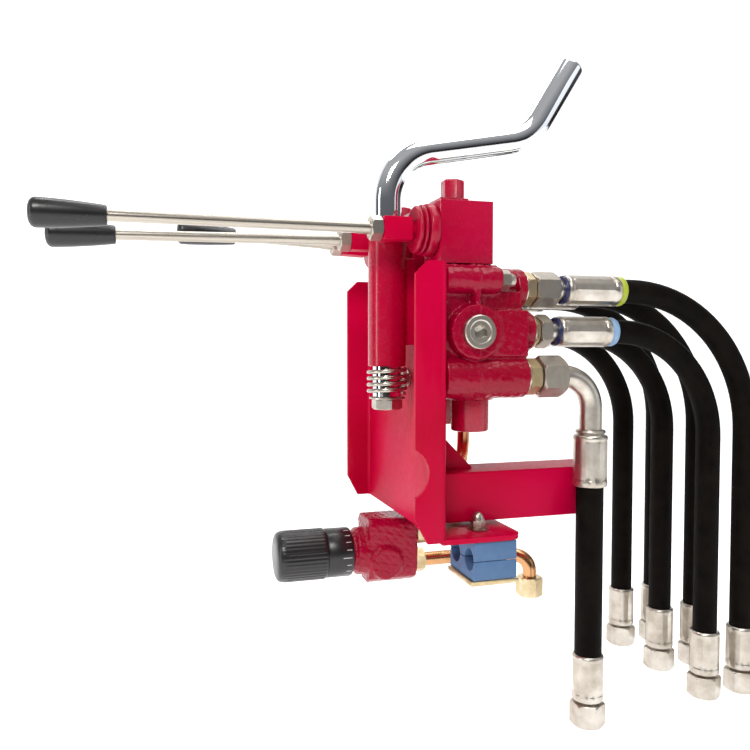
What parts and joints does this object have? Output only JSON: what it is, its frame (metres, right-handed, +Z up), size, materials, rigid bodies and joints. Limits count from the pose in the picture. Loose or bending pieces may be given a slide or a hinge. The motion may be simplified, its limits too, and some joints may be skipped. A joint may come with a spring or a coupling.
{
  "type": "hydraulic monoblock valve",
  "caption": "Hydraulic monoblock valve with hand levers, on a folded bracket with a square mounting stub, port fittings, hoses, a swing handle and a flow regulator.",
  "frame": {"origin": "middle of the top face of the square mounting stub, 40 mm in from its free end, where a socket tube clamps it", "axes": "+X from the operator's levers towards the hoses, +Y from the near section to the far section, +Z up along the spools"},
  "size_m": [0.6015, 0.2027, 0.559],
  "materials": {
    "red_paint": "gloss enamel",
    "red_cast": "gloss enamel over rough casting",
    "painted_rubber": "painted over",
    "bright_steel": "bright drawn",
    "chrome": "polished",
    "zinc": "zinc plated",
    "yellow_zinc": "yellow passivated zinc plate",
    "black_plastic": "semi-gloss moulded",
    "hose_rubber": "matt wrapped cover",
    "bronzed_pipe": "bronze-tinted zinc plate",
    "blue_plastic": "moulded polypropylene"
  },
  "bodies": {
    "valve": {"bracket": "red_paint", "mounting_stub": "red_paint", "handle_tube": "red_paint", "valve_body": "red_cast", "regulator_body": "red_cast", "lever_box_1": "red_paint", "boot_1": "painted_rubber", "spring_cap_1": "red_paint", "lever_box_2": "red_paint", "boot_2": "painted_rubber", "spring_cap_2": "red_paint", "lever_box_3": "red_paint", "boot_3": "painted_rubber", "spring_cap_3": "red_paint", "mounting_bolt_1": "zinc", "mounting_bolt_2": "zinc", "port_plug": "zinc", "relief_valve": "zinc", "return_nut": "zinc", "return_elbow": "zinc", "clamp_bolt": "zinc", "clamp_dome_nut": "zinc", "return_adapter": "yellow_zinc", "clamp_plate": "yellow_zinc", "feed_pipe": "bronzed_pipe", "supply_pipe": "bronzed_pipe", "clamp_upper": "blue_plastic", "clamp_lower": "blue_plastic", "hose_fitting_1": "zinc", "hose_fitting_2": "zinc", "hose_fitting_3": "zinc", "hose_fitting_4": "zinc", "hose_fitting_5": "zinc", "hose_fitting_6": "zinc", "work_hose_1": "hose_rubber", "work_hose_2": "hose_rubber", "work_hose_3": "hose_rubber", "work_hose_4": "hose_rubber", "work_hose_5": "hose_rubber", "work_hose_6": "hose_rubber", "return_hose": "hose_rubber"},
    "lever_1": {"lever_hub_1": "red_paint", "lever_locknut_1": "zinc", "lever_rod_1": "bright_steel", "lever_knob_1": "black_plastic"},
    "spool_1": {"spool_1": "bright_steel"},
    "lever_2": {"lever_hub_2": "red_paint", "lever_locknut_2": "zinc", "lever_rod_2": "bright_steel", "lever_knob_2": "black_plastic"},
    "spool_2": {"spool_2": "bright_steel"},
    "lever_3": {"lever_hub_3": "red_paint", "lever_locknut_3": "zinc", "lever_rod_3": "bright_steel", "lever_knob_3": "black_plastic"},
    "spool_3": {"spool_3": "bright_steel"},
    "handle": {"swing_handle": "chrome", "handle_spring": "bright_steel", "handle_bolt": "zinc"},
    "flow_knob": {"regulator_knob": "black_plastic"}
  },
  "joints": [
    {"name": "lever_1_pivot", "type": "hinge", "parent": "valve", "child": "lever_1", "pos_m": [-0.096, -0.02, 0.1901], "axis": [0, 1, 0], "range_deg": [-20, 20], "stiffness_Nm_per_rad": 12, "deforming": ["boot_1"]},
    {"name": "spool_1_slide", "type": "slide", "parent": "valve", "child": "spool_1", "axis": [0, 0, 1], "range_m": [-0.0062, 0.0062]},
    {"name": "lever_2_pivot", "type": "hinge", "parent": "valve", "child": "lever_2", "pos_m": [-0.096, 0.042, 0.1901], "axis": [0, 1, 0], "range_deg": [-20, 20], "stiffness_Nm_per_rad": 12, "deforming": ["boot_2"]},
    {"name": "spool_2_slide", "type": "slide", "parent": "valve", "child": "spool_2", "axis": [0, 0, 1], "range_m": [-0.0062, 0.0062]},
    {"name": "lever_3_pivot", "type": "hinge", "parent": "valve", "child": "lever_3", "pos_m": [-0.096, 0.104, 0.1901], "axis": [0, 1, 0], "range_deg": [-20, 20], "stiffness_Nm_per_rad": 12, "deforming": ["boot_3"]},
    {"name": "spool_3_slide", "type": "slide", "parent": "valve", "child": "spool_3", "axis": [0, 0, 1], "range_m": [-0.0062, 0.0062]},
    {"name": "handle_swivel", "type": "hinge", "parent": "valve", "child": "handle", "pos_m": [-0.138, 0.011, 0.1015], "axis": [0, 0, 1], "range_deg": [-60, 60]},
    {"name": "flow_knob_turn", "type": "hinge", "parent": "valve", "child": "flow_knob", "pos_m": [-0.15, 0.088, -0.0865], "axis": [1, 0, 0], "range_deg": [-150, 150]}
  ],
  "couplings": [
    {"joint": "spool_1_slide", "follows": "lever_1_pivot", "m_per_rad": -0.017},
    {"joint": "spool_2_slide", "follows": "lever_2_pivot", "m_per_rad": -0.017},
    {"joint": "spool_3_slide", "follows": "lever_3_pivot", "m_per_rad": -0.017}
  ]
}
